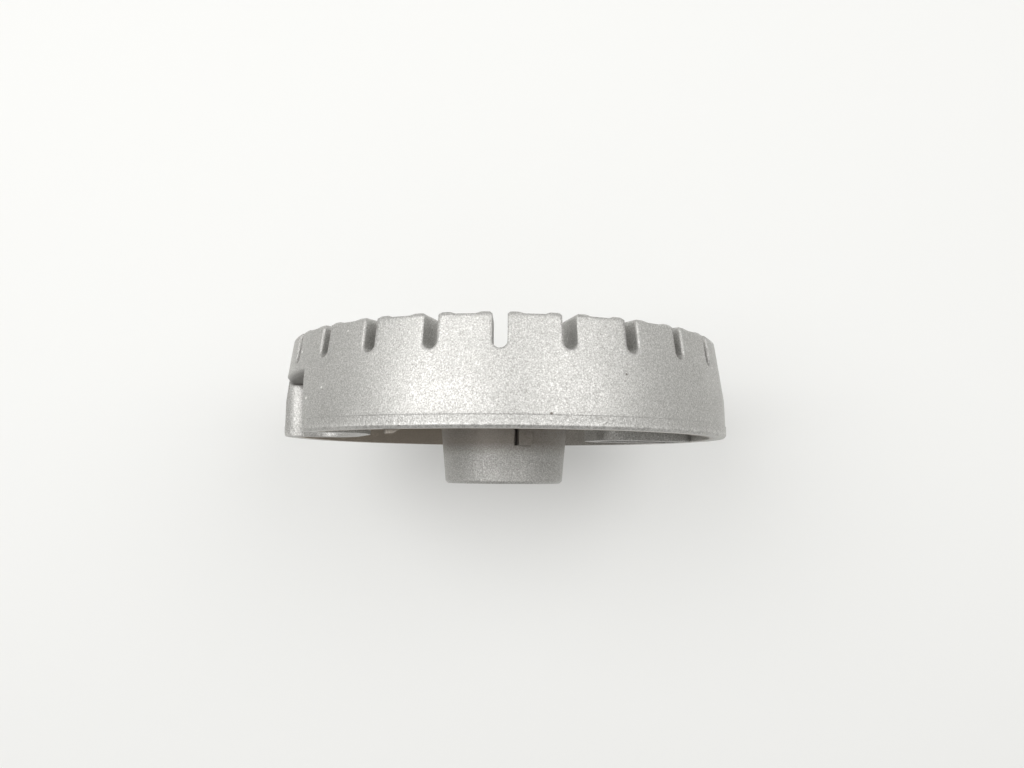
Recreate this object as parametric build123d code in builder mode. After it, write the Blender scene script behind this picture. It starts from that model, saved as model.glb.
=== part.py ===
import math
import os

from build123d import *

os.makedirs("parts", exist_ok=True)

# Gas burner base, one aluminium die casting. Sizes are in mm and degrees.
# Z is the axis of the ring, and Z = 0 is the plane of the lower rim.
# The electrode pocket opens towards -X, and the key on the neck faces nearly towards -Y.

# Outer wall
rim_diameter = 73.5
rim_band_height = 1.7
rim_band_ledge = 0.12
rim_edge = 0.35
waist_height = 5.8
lower_draft = 1.7
upper_draft = 8.5
crown_height = 15.3
crown_edge = 0.4

# Port ring and gas chamber
ring_land = 6.6
chamber_depth = 5.4
chamber_draft = 3.0
chamber_edge = 0.4
floor_thickness = 2.4

# Flame slots
slot_count = 24
slot_width = 2.0
slot_depth = 4.95
slot_edge = 0.35

# Shallow gaps in the crown, which leave a pair of cap pads beside each slot
gap_angle = 6.8
gap_ramp_angle = 1.15
gap_depth = 0.28

# Skirt and neck
skirt_wall = 2.6
skirt_draft = 2.5
root_edge = 1.0
neck_length = 7.5
neck_diameter = 21.0
neck_draft = 5.2
neck_edge = 0.4
throat_diameter = 15.6
throat_flare = 5.6

# Electrode pocket in the skirt
pocket_width = 15.2
pocket_depth = 10.5
pocket_height = 8.6
pocket_corner = 4.0
pocket_mouth = 3.0
pocket_lip = 0.8
pocket_wall = 2.3
pocket_draft = 1.5

# Closed boss under the floor, opposite the pocket
boss_width = 11.4
boss_length = 20.0
boss_corner = 4.0
boss_wall = 2.3
boss_draft = 1.5

# Locating key on the neck, with the relief groove beside it
key_angle = 86.5
key_width = 2.3
key_rise = 0.8
key_reach = 1.4
groove_width = 0.45
groove_depth = 0.9

# Levels and radii that follow from these
rim_radius = rim_diameter / 2
wall_radius = rim_radius - rim_band_ledge
waist_radius = wall_radius - (waist_height - rim_band_height) * math.tan(math.radians(lower_draft))


def upper_wall_radius(level):
    return waist_radius - (level - waist_height) * math.tan(math.radians(upper_draft))


crown_radius = upper_wall_radius(crown_height)
ring_radius = crown_radius - ring_land
floor_level = crown_height - chamber_depth
floor_radius = ring_radius - chamber_depth * math.tan(math.radians(chamber_draft))
underside_level = floor_level - floor_thickness
skirt_radius = rim_radius - skirt_wall
skirt_root_radius = skirt_radius - underside_level * math.tan(math.radians(skirt_draft))
neck_radius = neck_diameter / 2
neck_end_radius = neck_radius - neck_length * math.tan(math.radians(neck_draft))
neck_root_radius = neck_radius + underside_level * math.tan(math.radians(neck_draft))
throat_radius = throat_diameter / 2
flare_radius = throat_radius + throat_flare
flare_level = floor_level - throat_flare
slot_pitch = 360 / slot_count
slot_phase = slot_pitch / 2
clear_of_part = 5.0

# One slot, along +X, from the gas chamber out through the ring, with a round bottom and chamfered top edges
slot_half = slot_width / 2
with BuildPart() as slot_cut:
    with BuildSketch(Plane.YZ.offset(floor_radius - clear_of_part)):
        with Locations((0, crown_height - slot_depth + slot_half)):
            Circle(slot_half)
            Rectangle(slot_width, slot_depth, align=(Align.CENTER, Align.MIN))
        with BuildLine():
            Polyline(
                (-slot_half, crown_height - slot_edge),
                (slot_half, crown_height - slot_edge),
                (slot_half + slot_edge + clear_of_part, crown_height + clear_of_part),
                (-slot_half - slot_edge - clear_of_part, crown_height + clear_of_part),
                close=True,
            )
        make_face()
    extrude(amount=rim_radius - floor_radius + 2 * clear_of_part)

# One gap between two pairs of pads, along +X, wider towards the outside
with BuildPart() as gap_cut:
    for radius in (floor_radius - clear_of_part, rim_radius + clear_of_part):
        half = radius * math.tan(math.radians(gap_angle / 2))
        ramp_foot = radius * math.tan(math.radians(gap_angle / 2 - gap_ramp_angle))
        with BuildSketch(Plane.YZ.offset(radius)):
            with BuildLine():
                Polyline(
                    (ramp_foot, crown_height - gap_depth),
                    (half, crown_height),
                    (half, crown_height + clear_of_part),
                    (-half, crown_height + clear_of_part),
                    (-half, crown_height),
                    (-ramp_foot, crown_height - gap_depth),
                    close=True,
                )
            make_face()
    loft()

# Plan of the electrode pocket: a flat inner end with round corners, straight sides and a rounded mouth
pocket_half = pocket_width / 2
mouth_half = pocket_half + pocket_mouth
mouth_end = math.sqrt(rim_radius**2 - mouth_half**2)
pocket_end = pocket_depth - rim_radius
end_half = pocket_half - pocket_corner


def pocket_outline():
    with BuildSketch() as outline:
        with BuildLine():
            Line((pocket_end, -end_half), (pocket_end, end_half))
            for side in (1, -1):
                corner_end = pocket_end - pocket_corner
                flare_start = pocket_mouth - mouth_end
                JernArc((pocket_end, side * end_half), (0, side), pocket_corner, 90 * side)
                Line((corner_end, side * pocket_half), (flare_start, side * pocket_half))
                JernArc((flare_start, side * pocket_half), (-1, 0), pocket_mouth, -90 * side)
                Line((-mouth_end, side * mouth_half), (-mouth_end, side * (mouth_half + clear_of_part)))
                Line(
                    (-mouth_end, side * (mouth_half + clear_of_part)),
                    (-rim_radius - clear_of_part, side * (mouth_half + clear_of_part)),
                )
            Line(
                (-rim_radius - clear_of_part, mouth_half + clear_of_part),
                (-rim_radius - clear_of_part, -mouth_half - clear_of_part),
            )
        make_face()
    return outline.sketch


# The pocket has drafted sides, a flat ceiling and a lip chamfered up to the outer wall
lip_radius = upper_wall_radius(pocket_height) - pocket_lip
ceiling_top = pocket_height + clear_of_part
with BuildPart() as pocket_cut:
    add(pocket_outline())
    extrude(amount=ceiling_top, taper=pocket_draft)
    with BuildSketch(Plane.XZ):
        with BuildLine():
            Polyline(
                (0, pocket_height),
                (lip_radius, pocket_height),
                (lip_radius + clear_of_part, ceiling_top),
                (0, ceiling_top),
                close=True,
            )
        make_face()
    revolve(axis=Axis.Z, mode=Mode.SUBTRACT)

# The whole casting
with BuildPart() as burner_base:
    with BuildSketch(Plane.XZ) as section:
        with BuildLine():
            Polyline(
                (throat_radius, flare_level),
                (throat_radius, -neck_length),
                (neck_end_radius, -neck_length),
                (neck_root_radius, underside_level),
                (skirt_root_radius, underside_level),
                (skirt_radius, 0),
                (rim_radius - rim_edge, 0),
                (rim_radius, rim_edge),
                (rim_radius, rim_band_height),
                (wall_radius, rim_band_height),
                (waist_radius, waist_height),
                (crown_radius, crown_height),
                (ring_radius, crown_height),
                (floor_radius, floor_level),
                (flare_radius, floor_level),
            )
            JernArc((flare_radius, floor_level), (-1, 0), throat_flare, 90)
        make_face()
        for corner, edge in (
            ((neck_root_radius, underside_level), root_edge),
            ((skirt_root_radius, underside_level), root_edge),
            ((floor_radius, floor_level), chamber_edge),
            ((crown_radius, crown_height), crown_edge),
            ((neck_end_radius, -neck_length), neck_edge),
        ):
            chamfer(section.vertices().sort_by_distance(corner)[0], edge)
    revolve(axis=Axis.Z)

    # Wall of the electrode pocket, from the rim plane up into the floor
    wall_height = underside_level + floor_thickness / 2
    with BuildSketch() as pocket_plan:
        with Locations((pocket_end + pocket_wall, 0)):
            Rectangle(pocket_depth, pocket_width + 2 * pocket_wall, align=(Align.MAX, Align.CENTER))
        fillet(pocket_plan.vertices().group_by(Axis.X)[-1], pocket_corner + pocket_wall)
        Circle(rim_radius - skirt_wall / 2, mode=Mode.INTERSECT)
    extrude(amount=wall_height, taper=-pocket_draft)
    add(pocket_cut.part, mode=Mode.SUBTRACT)

    # Wall of the closed boss, as high as the pocket's
    boss_tip = rim_radius - boss_length
    with BuildSketch() as boss_plan:
        with Locations((boss_tip, 0)):
            Rectangle(boss_length, boss_width, align=(Align.MIN, Align.CENTER))
        fillet(boss_plan.vertices().group_by(Axis.X)[0], boss_corner)
        offset(amount=-boss_wall, mode=Mode.SUBTRACT)
        Circle(rim_radius - skirt_wall / 2, mode=Mode.INTERSECT)
    extrude(amount=wall_height, taper=-boss_draft)

    # Key on the neck and its groove, from the underside of the floor down past the rim plane
    key_middle = (underside_level - key_reach) / 2
    key_height = underside_level + key_reach
    groove_reach = 2 * (neck_root_radius - neck_radius + groove_depth)
    with Locations(Location((0, 0, key_middle), (0, 0, key_angle - 180))):
        with Locations((neck_radius, 0)):
            Box(2 * key_rise, key_width, key_height)
        with Locations((neck_root_radius, -(key_width + groove_width) / 2)):
            Box(groove_reach, groove_width, key_height, mode=Mode.SUBTRACT)

    # Slots and pads of the port ring
    with PolarLocations(0, slot_count):
        add(gap_cut.part, mode=Mode.SUBTRACT)
    with PolarLocations(0, slot_count, start_angle=slot_phase):
        add(slot_cut.part, mode=Mode.SUBTRACT)

burner_base.part.label = "burner_base"
export_step(burner_base.part, "parts/burner_base.step")
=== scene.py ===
import math

import bpy
from mathutils import Euler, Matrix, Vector


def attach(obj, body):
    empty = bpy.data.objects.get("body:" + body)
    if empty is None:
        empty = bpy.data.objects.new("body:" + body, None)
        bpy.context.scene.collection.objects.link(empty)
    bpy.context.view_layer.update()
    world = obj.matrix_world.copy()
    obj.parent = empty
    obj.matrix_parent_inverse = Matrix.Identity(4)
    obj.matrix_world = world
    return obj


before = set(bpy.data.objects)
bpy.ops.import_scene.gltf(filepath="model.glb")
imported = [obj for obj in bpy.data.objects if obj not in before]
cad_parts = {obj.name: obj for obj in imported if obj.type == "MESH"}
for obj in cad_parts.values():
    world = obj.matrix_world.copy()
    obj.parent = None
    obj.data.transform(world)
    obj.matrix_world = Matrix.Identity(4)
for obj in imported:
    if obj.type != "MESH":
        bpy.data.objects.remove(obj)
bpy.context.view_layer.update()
bpy.ops.object.select_all(action="DESELECT")
print("loaded the packed casting")

millimetre = 0.001


def linearColour(hexCode):
    channels = [int(hexCode[i:i + 2], 16) / 255 for i in (1, 3, 5)]
    return [c / 12.92 if c <= 0.04045 else ((c + 0.055) / 1.055) ** 2.4 for c in channels] + [1]


def addNode(tree, kind, inputs, **settings):
    node = tree.nodes.new(kind)
    for name, value in settings.items():
        setattr(node, name, value)
    for socket, value in inputs.items():
        if isinstance(value, bpy.types.NodeSocket):
            tree.links.new(value, node.inputs[socket])
        else:
            node.inputs[socket].default_value = value
    return node


def newTree(name):
    material = bpy.data.materials.new(name)
    material.use_nodes = True
    material.node_tree.nodes.clear()
    return material, material.node_tree


# die-cast aluminium, shot-blasted after trimming: a pale grey, evenly matt,
# with a fine glitter where the shot left tiny facets
castFinish = {
    "metallic": 0.85,             # a little short of bare metal, for the light the blasted skin scatters
    "shotMark": {
        "across": 0.20,           # mm, coarser than real grit so that it shows
        "relief": 0.040,          # mm
        "strength": (0.34, 1.0),  # on the blasted faces and on the trimmed edge
        "noise": {"Detail": 3.0, "Roughness": 0.6},
        "pit": (0.28, "#9d9b97"), "skin": (0.50, "#b9b8b5"), "facet": (0.74, "#dddcd9"),   # noise and tone
        "spread": (0.3, 0.7),     # noise over which a pit's roughness becomes a facet's
        "roughness": (0.62, 0.46),
    },
    "mottle": {                   # slow change of the skin
        "across": 7.0,            # mm
        "noise": {"Detail": 3.0, "Roughness": 0.55},
        "spread": (0.3, 0.7), "tone": (0.95, 1.04),
    },
    "tear": {                     # coarse marks that the trimming tore into the lower rim
        "across": 0.55,           # mm
        "relief": 0.13,           # mm
        "noise": {"Detail": 4.0, "Roughness": 0.6},
        "limits": [("z", 2.0, 1.6)],
    },
    "edge": {"radius": (0.7, 0.18), "samples": 6},   # mm, rounded by the shot, and sharper at the trimmed rim
    "underside": {                # painted shade: the hollow underside and the top of the neck under the rim made darker and warmer
        "share": 0.85,
        "tones": ("#8a837b", "#a79c8f"),     # round the neck and out at the skirt
        "change": (12.0, 30.0),              # mm from the axis
        "limits": [("reach", 9.6, 10.0), ("reach", 35.0, 34.5), ("z", -3.0, -1.0), ("z", 8.2, 7.7),
                   ("x", 40.0, 0.0)],        # fades away towards the boss
    },
    "litUndersideWalls": {             # mm, round-cornered plans of walls under there that light reaches, kept out of the painted shade
        "pocket": {"centre": (-40.0, 0.0, 0.0), "core": (9.75, 3.6, 0.0), "corner": (6.6, 7.0)},
        "boss": {"centre": (40.0, 0.0, 0.0), "core": (19.25, 1.7, 0.0), "corner": (4.4, 5.4)},
    },
    "patches": {                  # spread is the tear noise from none of the tone to its full share
        "litTrimmedRim": {           # bare metal in places, and painted light that lifts the down-facing trimmed edge
            "tone": "#efeeeb", "share": 0.42, "spread": (0.42, 0.62),
            "limits": [("z", 0.9, 0.45), ("reach", 34.4, 35.6)],
        },
        "pocketCeilingShade": {        # painted shade on the pocket's ceiling, nearly all over
            "tone": "#74726f", "share": 0.85, "spread": (0.1, 0.3),
            "limits": [("x", -25.0, -26.0), ("aside", 9.0, 8.0), ("z", 8.2, 8.5), ("z", 9.3, 8.8)],
        },
    },
    "creaseShade": {                   # painted shade: darker inner corners
        "reach": 1.3,             # mm
        "openness": (0.85, 0.35), "share": 0.55, "tone": "#4f4a45", "samples": 8,
    },
    "specks": {                   # stray grit
        "spacing": 4.5, "radius": 0.24,      # mm
        "core": 0.7,              # share of the radius that is solid
        "dark": "#77726d", "bright": "#f3f2ef", "darkShare": 0.4,
    },
}


def areaMask(tree, coordinates, share, limits):
    # each limit is a coordinate, the mm where the area starts and the mm where it is full
    for coordinate, start, full in limits:
        gate = addNode(tree, "ShaderNodeMapRange", {
            "Value": coordinates[coordinate], "From Min": start * millimetre, "From Max": full * millimetre})
        share = addNode(tree, "ShaderNodeMath", {
            0: share, 1: gate.outputs["Result"]}, operation="MULTIPLY").outputs["Value"]
    return share


def blastedSkin(tree, look, place, grain):
    mark, mottle = look["shotMark"], look["mottle"]
    tones = addNode(tree, "ShaderNodeValToRGB", {"Fac": grain})
    stops = tones.color_ramp.elements
    stops.new(mark["skin"][0])
    for stop, name in zip(stops, ("pit", "skin", "facet")):
        stop.position = mark[name][0]
        stop.color = linearColour(mark[name][1])
    slow = addNode(tree, "ShaderNodeTexNoise", {
        "Vector": place, "Scale": 1 / (mottle["across"] * millimetre), **mottle["noise"]})
    slowTone = addNode(tree, "ShaderNodeMapRange", {
        "Value": slow.outputs["Fac"], "From Min": mottle["spread"][0], "From Max": mottle["spread"][1],
        "To Min": mottle["tone"][0], "To Max": mottle["tone"][1]})
    return addNode(tree, "ShaderNodeMix", {
        "Factor": 1.0, "A": tones.outputs["Color"], "B": slowTone.outputs["Result"]},
        data_type="RGBA", blend_type="MULTIPLY").outputs["Result"]


# painted shade under the rim: a darker, warmer tone over the hollow and the neck's top, left off the lit
# walls
def shadeUnderside(tree, look, skin, flat, coordinates):
    underside = look["underside"]
    shadeZone = areaMask(tree, coordinates, underside["share"], underside["limits"])
    for wall in look["litUndersideWalls"].values():
        centre, core, corner = [[a * millimetre for a in wall[key]] for key in ("centre", "core", "corner")]
        moved = addNode(tree, "ShaderNodeVectorMath", {0: flat, 1: centre}, operation="SUBTRACT")
        folded = addNode(tree, "ShaderNodeVectorMath", {0: moved.outputs["Vector"]}, operation="ABSOLUTE")
        beyond = addNode(tree, "ShaderNodeVectorMath", {
            0: folded.outputs["Vector"], 1: core}, operation="SUBTRACT")
        past = addNode(tree, "ShaderNodeVectorMath", {
            0: beyond.outputs["Vector"], 1: (0.0, 0.0, 0.0)}, operation="MAXIMUM")
        gap = addNode(tree, "ShaderNodeVectorMath", {0: past.outputs["Vector"]}, operation="LENGTH")
        clear = addNode(tree, "ShaderNodeMapRange", {
            "Value": gap.outputs["Value"], "From Min": corner[0], "From Max": corner[1]})
        shadeZone = addNode(tree, "ShaderNodeMath", {
            0: shadeZone, 1: clear.outputs["Result"]}, operation="MULTIPLY").outputs["Value"]
    outward = addNode(tree, "ShaderNodeMapRange", {
        "Value": coordinates["reach"], "From Min": underside["change"][0] * millimetre,
        "From Max": underside["change"][1] * millimetre})
    shadedCastTone = addNode(tree, "ShaderNodeMix", {
        "Factor": outward.outputs["Result"], "A": linearColour(underside["tones"][0]),
        "B": linearColour(underside["tones"][1])}, data_type="RGBA")
    return addNode(tree, "ShaderNodeMix", {
        "Factor": shadeZone, "A": skin, "B": shadedCastTone.outputs["Result"]}, data_type="RGBA").outputs["Result"]


# patches of painted light on the trimmed rim and painted shade on the pocket's ceiling, where the tear noise
# allows
def patched(tree, look, colour, tears, coordinates):
    for patch in look["patches"].values():
        torn = addNode(tree, "ShaderNodeMapRange", {
            "Value": tears, "From Min": patch["spread"][0], "From Max": patch["spread"][1],
            "To Max": patch["share"]})
        cover = areaMask(tree, coordinates, torn.outputs["Result"], patch["limits"])
        colour = addNode(tree, "ShaderNodeMix", {
            "Factor": cover, "A": colour, "B": linearColour(patch["tone"])},
            data_type="RGBA").outputs["Result"]
    return colour


# painted shade: the colour darkens towards a dark tone where the surface is closed in
def shadeCreases(tree, look, colour):
    creaseShade = look["creaseShade"]
    openness = addNode(tree, "ShaderNodeAmbientOcclusion", {
        "Distance": creaseShade["reach"] * millimetre}, samples=creaseShade["samples"])
    closed = addNode(tree, "ShaderNodeMapRange", {
        "Value": openness.outputs["AO"], "From Min": creaseShade["openness"][0], "From Max": creaseShade["openness"][1],
        "To Max": creaseShade["share"]})
    return addNode(tree, "ShaderNodeMix", {
        "Factor": closed.outputs["Result"], "A": colour, "B": linearColour(creaseShade["tone"])},
        data_type="RGBA").outputs["Result"]


def specked(tree, look, colour, place):
    specks = look["specks"]
    edge = specks["radius"] / specks["spacing"]
    cells = addNode(tree, "ShaderNodeTexVoronoi", {
        "Vector": place, "Scale": 1 / (specks["spacing"] * millimetre)})
    dot = addNode(tree, "ShaderNodeMapRange", {
        "Value": cells.outputs["Distance"], "From Min": edge, "From Max": specks["core"] * edge})
    bright = addNode(tree, "ShaderNodeMath", {
        0: cells.outputs["Color"], 1: specks["darkShare"]}, operation="GREATER_THAN")
    tone = addNode(tree, "ShaderNodeMix", {
        "Factor": bright.outputs["Value"], "A": linearColour(specks["dark"]),
        "B": linearColour(specks["bright"])}, data_type="RGBA")
    return addNode(tree, "ShaderNodeMix", {
        "Factor": dot.outputs["Result"], "A": colour, "B": tone.outputs["Result"]},
        data_type="RGBA").outputs["Result"]


def castRelief(tree, look, grain, tears, coordinates):
    mark, tear, edge = look["shotMark"], look["tear"], look["edge"]
    trimmed = areaMask(tree, coordinates, 1.0, tear["limits"])
    roundness = addNode(tree, "ShaderNodeMapRange", {
        "Value": trimmed, "To Min": edge["radius"][0] * millimetre, "To Max": edge["radius"][1] * millimetre})
    softEdge = addNode(tree, "ShaderNodeBevel", {
        "Radius": roundness.outputs["Result"]}, samples=edge["samples"])
    tornEdge = addNode(tree, "ShaderNodeBump", {
        "Strength": trimmed, "Distance": tear["relief"] * millimetre, "Height": tears,
        "Normal": softEdge.outputs["Normal"]})
    strength = addNode(tree, "ShaderNodeMapRange", {
        "Value": trimmed, "To Min": mark["strength"][0], "To Max": mark["strength"][1]})
    return addNode(tree, "ShaderNodeBump", {
        "Strength": strength.outputs["Result"], "Distance": mark["relief"] * millimetre, "Height": grain,
        "Normal": tornEdge.outputs["Normal"]}).outputs["Normal"]


def blastedCastAluminium(look):
    material, tree = newTree("shot-blasted die-cast aluminium")
    mark, tear = look["shotMark"], look["tear"]
    place = addNode(tree, "ShaderNodeTexCoord", {}).outputs["Object"]
    grain = addNode(tree, "ShaderNodeTexNoise", {
        "Vector": place, "Scale": 1 / (mark["across"] * millimetre), **mark["noise"]}).outputs["Fac"]
    tears = addNode(tree, "ShaderNodeTexNoise", {
        "Vector": place, "Scale": 1 / (tear["across"] * millimetre), **tear["noise"]}).outputs["Fac"]
    axes = addNode(tree, "ShaderNodeSeparateXYZ", {"Vector": place}).outputs
    aside = addNode(tree, "ShaderNodeMath", {0: axes["Y"]}, operation="ABSOLUTE")
    flat = addNode(tree, "ShaderNodeVectorMath", {0: place, 1: (1.0, 1.0, 0.0)}, operation="MULTIPLY")
    reach = addNode(tree, "ShaderNodeVectorMath", {0: flat.outputs["Vector"]}, operation="LENGTH")
    coordinates = {
        "x": axes["X"], "aside": aside.outputs["Value"], "z": axes["Z"], "reach": reach.outputs["Value"],
    }
    colour = blastedSkin(tree, look, place, grain)
    colour = shadeUnderside(tree, look, colour, flat.outputs["Vector"], coordinates)
    colour = patched(tree, look, colour, tears, coordinates)
    colour = shadeCreases(tree, look, colour)
    colour = specked(tree, look, colour, place)
    matt = addNode(tree, "ShaderNodeMapRange", {
        "Value": grain, "From Min": mark["spread"][0], "From Max": mark["spread"][1],
        "To Min": mark["roughness"][0], "To Max": mark["roughness"][1]})
    shader = addNode(tree, "ShaderNodeBsdfPrincipled", {
        "Base Color": colour, "Metallic": look["metallic"], "Roughness": matt.outputs["Result"],
        "Normal": castRelief(tree, look, grain, tears, coordinates)})
    addNode(tree, "ShaderNodeOutputMaterial", {"Surface": shader.outputs["BSDF"]})
    return material


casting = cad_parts["burner_base"]
aluminium = blastedCastAluminium(castFinish)
casting.data.materials.clear()
casting.data.materials.append(aluminium)
print("casting dressed in", aluminium.name)

# thin flake of flash that the trimming left on the inner edge of the rim
flashFlake = {
    "width": 2.9, "drop": 0.85, "thickness": 0.16,   # mm
    "reach": 34.5,            # mm from the axis
    "turn": -137.0,           # degrees round from +X
    "root": 0.25,             # mm sunk into the rim
    "foot": 0.45,             # lower edge as a share of the width
    "lean": -0.55,            # mm that the lower edge is set off along the rim
    "cuts": 5, "ragged": 0.35, "seed": 4,
}


def hangFlake(look):
    turn = math.radians(look["turn"])
    outwards = Vector((math.cos(turn), math.sin(turn), 0))
    alongRim = Vector((-math.sin(turn), math.cos(turn), 0))
    middle = outwards * look["reach"] * millimetre
    middle.z = (look["root"] - look["drop"] / 2) * millimetre
    bpy.ops.object.select_all(action="DESELECT")
    bpy.ops.mesh.primitive_plane_add(
        size=millimetre, location=middle, rotation=(math.pi / 2, 0, turn + math.pi / 2))
    flake = bpy.context.object
    flake.name = "flashFlake"
    flake.scale = (look["width"], look["drop"], 1)
    bpy.ops.object.transform_apply(location=True, rotation=True, scale=True)
    bpy.ops.object.mode_set(mode="EDIT")
    bpy.ops.mesh.select_all(action="DESELECT")
    bpy.ops.object.mode_set(mode="OBJECT")
    for vertex in flake.data.vertices:
        vertex.select = vertex.co.z < middle.z      # the free lower edge
    bpy.ops.object.mode_set(mode="EDIT")
    foot = middle - Vector((0, 0, look["drop"] / 2 * millimetre))
    bpy.ops.transform.resize(value=(look["foot"], look["foot"], 1), center_override=foot)
    bpy.ops.transform.translate(value=alongRim * look["lean"] * millimetre)
    bpy.ops.mesh.select_all(action="SELECT")
    bpy.ops.mesh.subdivide(number_cuts=look["cuts"], fractal=look["ragged"], seed=look["seed"])
    bpy.ops.object.mode_set(mode="OBJECT")
    wall = flake.modifiers.new("thickness", "SOLIDIFY")
    wall.thickness = look["thickness"] * millimetre
    wall.offset = 0
    bpy.ops.object.modifier_apply(modifier=wall.name)
    bpy.ops.object.shade_smooth()
    return flake


flake = hangFlake(flashFlake)
flake.data.materials.append(aluminium)
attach(flake, "root")
print("flash flake hung on the rim")

# camera where the photograph was taken from, nearly level with the rim and close in
viewpoint = {
    "place": (-51.41, -130.823, -5.503),      # mm
    "turn": (96.068, -0.399, -22.023),        # degrees
    "lens": 28.88, "sensor": 36.0,            # mm
    "nearest": 1.0,                           # mm
}
cameraPlace = Vector(viewpoint["place"]) * millimetre
cameraTurn = Euler([math.radians(a) for a in viewpoint["turn"]])
bpy.ops.object.camera_add(location=cameraPlace, rotation=cameraTurn)
camera = bpy.context.object
camera.data.lens = viewpoint["lens"]
camera.data.sensor_width = viewpoint["sensor"]
camera.data.clip_start = viewpoint["nearest"] * millimetre
bpy.context.scene.camera = camera
toRight, toTop, toCamera = cameraTurn.to_matrix().col
print("camera set")

# pale matt floor that the casting lies on, on its side, facing the camera
floorLook = {
    "colour": "#e7e7e5",
    "lightest": "#f6f6f5",
    "lift": 0.20,             # share of that tone that shows to the eye, which keeps the shadow light
    "distance": 177.3,        # mm from the camera, just behind the casting
    "radius": 320.0,          # mm
    "fadeFrom": 170.0,        # mm, the edge melts into the background from here out
    "sides": 96,
}


def paleFloor(look):
    material, tree = newTree("matt pale laminate")
    place = addNode(tree, "ShaderNodeTexCoord", {}).outputs["Object"]
    reach = addNode(tree, "ShaderNodeVectorMath", {0: place}, operation="LENGTH")
    shown = addNode(tree, "ShaderNodeMapRange", {
        "Value": reach.outputs["Value"], "From Min": look["fadeFrom"] * millimetre,
        "From Max": look["radius"] * millimetre, "To Min": 1.0, "To Max": 0.0},
        interpolation_type="SMOOTHSTEP")
    behind = addNode(tree, "ShaderNodeNewGeometry", {}).outputs["Backfacing"]
    front = addNode(tree, "ShaderNodeMath", {0: 1.0, 1: behind}, operation="SUBTRACT")
    cover = addNode(tree, "ShaderNodeMath", {
        0: shown.outputs["Result"], 1: front.outputs["Value"]}, operation="MULTIPLY")
    rays = addNode(tree, "ShaderNodeLightPath", {}).outputs
    seen = rays["Is Camera Ray"]
    for ray in ("Is Glossy Ray", "Is Transmission Ray"):
        seen = addNode(tree, "ShaderNodeMath", {0: seen, 1: rays[ray]}, operation="MAXIMUM").outputs["Value"]
    lift = addNode(tree, "ShaderNodeMath", {0: seen, 1: look["lift"]}, operation="MULTIPLY")
    matt = addNode(tree, "ShaderNodeBsdfDiffuse", {"Color": linearColour(look["colour"])})
    pale = addNode(tree, "ShaderNodeEmission", {"Color": linearColour(look["lightest"])})
    lifted = addNode(tree, "ShaderNodeMixShader", {
        "Fac": lift.outputs["Value"], 1: matt.outputs["BSDF"], 2: pale.outputs["Emission"]})
    clear = addNode(tree, "ShaderNodeBsdfTransparent", {})
    mixed = addNode(tree, "ShaderNodeMixShader", {
        "Fac": cover.outputs["Value"], 1: clear.outputs["BSDF"], 2: lifted.outputs["Shader"]})
    addNode(tree, "ShaderNodeOutputMaterial", {"Surface": mixed.outputs["Shader"]})
    return material


bpy.ops.object.select_all(action="DESELECT")
bpy.ops.mesh.primitive_circle_add(
    vertices=floorLook["sides"], radius=floorLook["radius"] * millimetre, fill_type="NGON",
    location=cameraPlace - toCamera * floorLook["distance"] * millimetre, rotation=cameraTurn)
floor = bpy.context.object
floor.name = "paleFloor"
floor.data.materials.append(paleFloor(floorLook))
print("floor laid")

# soft studio light from the camera's side: places are mm to the right, up and towards the camera
softBoxes = {
    "left": {"place": (-185, 100, 330), "width": 300, "power": 0.91},    # mm, mm and W
    "right": {"place": (215, 130, 330), "width": 300, "power": 0.67},
}
lampAim = Vector((0, 0, 4)) * millimetre      # on the axis, about midway between the neck's end and the crown
for name, box in softBoxes.items():
    right, top, near = [a * millimetre for a in box["place"]]
    lampPlace = lampAim + toRight * right + toTop * top + toCamera * near
    bpy.ops.object.light_add(type="AREA", location=lampPlace)
    lamp = bpy.context.object
    lamp.name = name + "SoftBox"
    lamp.data.shape = "DISK"
    lamp.data.size = box["width"] * millimetre
    lamp.data.energy = box["power"]
    lamp.rotation_euler = (lampPlace - lampAim).to_track_quat("Z", "Y").to_euler()

# pale room, lightest overhead
room = {"below": (0.0, "#a4a3a1"), "level": (0.5, "#c2c2c0"), "overhead": (1.0, "#dadad9")}
world = bpy.data.worlds.new("paleRoom")
bpy.context.scene.world = world
world.use_nodes = True
tree = world.node_tree
tree.nodes.clear()
direction = addNode(tree, "ShaderNodeTexCoord", {}).outputs["Generated"]
height = addNode(tree, "ShaderNodeSeparateXYZ", {"Vector": direction}).outputs["Z"]
climb = addNode(tree, "ShaderNodeMapRange", {"Value": height, "From Min": -1.0, "From Max": 1.0})
shades = addNode(tree, "ShaderNodeValToRGB", {"Fac": climb.outputs["Result"]})
shades.color_ramp.elements.new(room["level"][0])
for stop, (stopPlace, shade) in zip(shades.color_ramp.elements, room.values()):
    stop.position = stopPlace
    stop.color = linearColour(shade)
glow = addNode(tree, "ShaderNodeBackground", {"Color": shades.outputs["Color"]})
addNode(tree, "ShaderNodeOutputWorld", {"Surface": glow.outputs["Background"]})
print("lit")

bpy.context.scene.view_settings.view_transform = "Standard"
